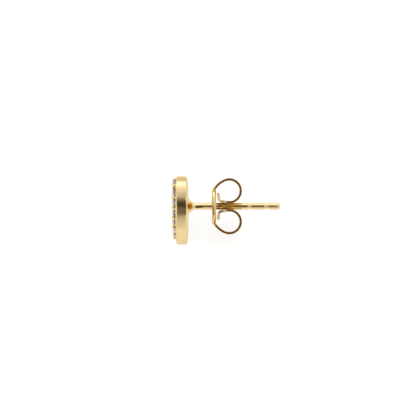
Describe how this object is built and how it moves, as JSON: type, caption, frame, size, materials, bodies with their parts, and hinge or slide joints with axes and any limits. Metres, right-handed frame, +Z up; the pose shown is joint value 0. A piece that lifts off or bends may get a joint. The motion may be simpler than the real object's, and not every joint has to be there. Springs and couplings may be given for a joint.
{
  "type": "heart stud earring",
  "caption": "Heart-shaped stud earring with a thick plain wall, a field of round clear stones on its front, a straight post and a sliding butterfly back, lying on its side.",
  "frame": {"origin": "on the surface it lies on, under the middle of its box", "axes": "+Y along the post from the heart to its free end, +Z up from the surface, the heart lying on one of its straight sides"},
  "size_m": [0.0076, 0.0124, 0.0075],
  "materials": {
    "setting_gold": "polished champagne gold plating",
    "nut_gold": "polished gold plating, a little warmer",
    "clear_stone": "clear faceted stone"
  },
  "bodies": {
    "earring": {"heart_setting": "setting_gold", "stone_01": "clear_stone", "stone_02": "clear_stone", "stone_03": "clear_stone", "stone_04": "clear_stone", "stone_05": "clear_stone", "stone_06": "clear_stone", "stone_07": "clear_stone", "stone_08": "clear_stone", "stone_09": "clear_stone", "stone_10": "clear_stone", "stone_11": "clear_stone", "stone_12": "clear_stone", "stone_13": "clear_stone", "stone_14": "clear_stone", "stone_15": "clear_stone", "stone_16": "clear_stone", "stone_17": "clear_stone", "stone_18": "clear_stone", "stone_19": "clear_stone", "stone_20": "clear_stone", "stone_21": "clear_stone", "stone_22": "clear_stone", "stone_23": "clear_stone", "stone_24": "clear_stone", "stone_25": "clear_stone", "stone_26": "clear_stone", "stone_27": "clear_stone"},
    "nut": {"ear_nut": "nut_gold"}
  },
  "joints": [
    {"name": "nut_slide", "type": "slide", "parent": "earring", "child": "nut", "axis": [0, 1, 0], "range_m": [-0.0019, 0.0082]}
  ]
}
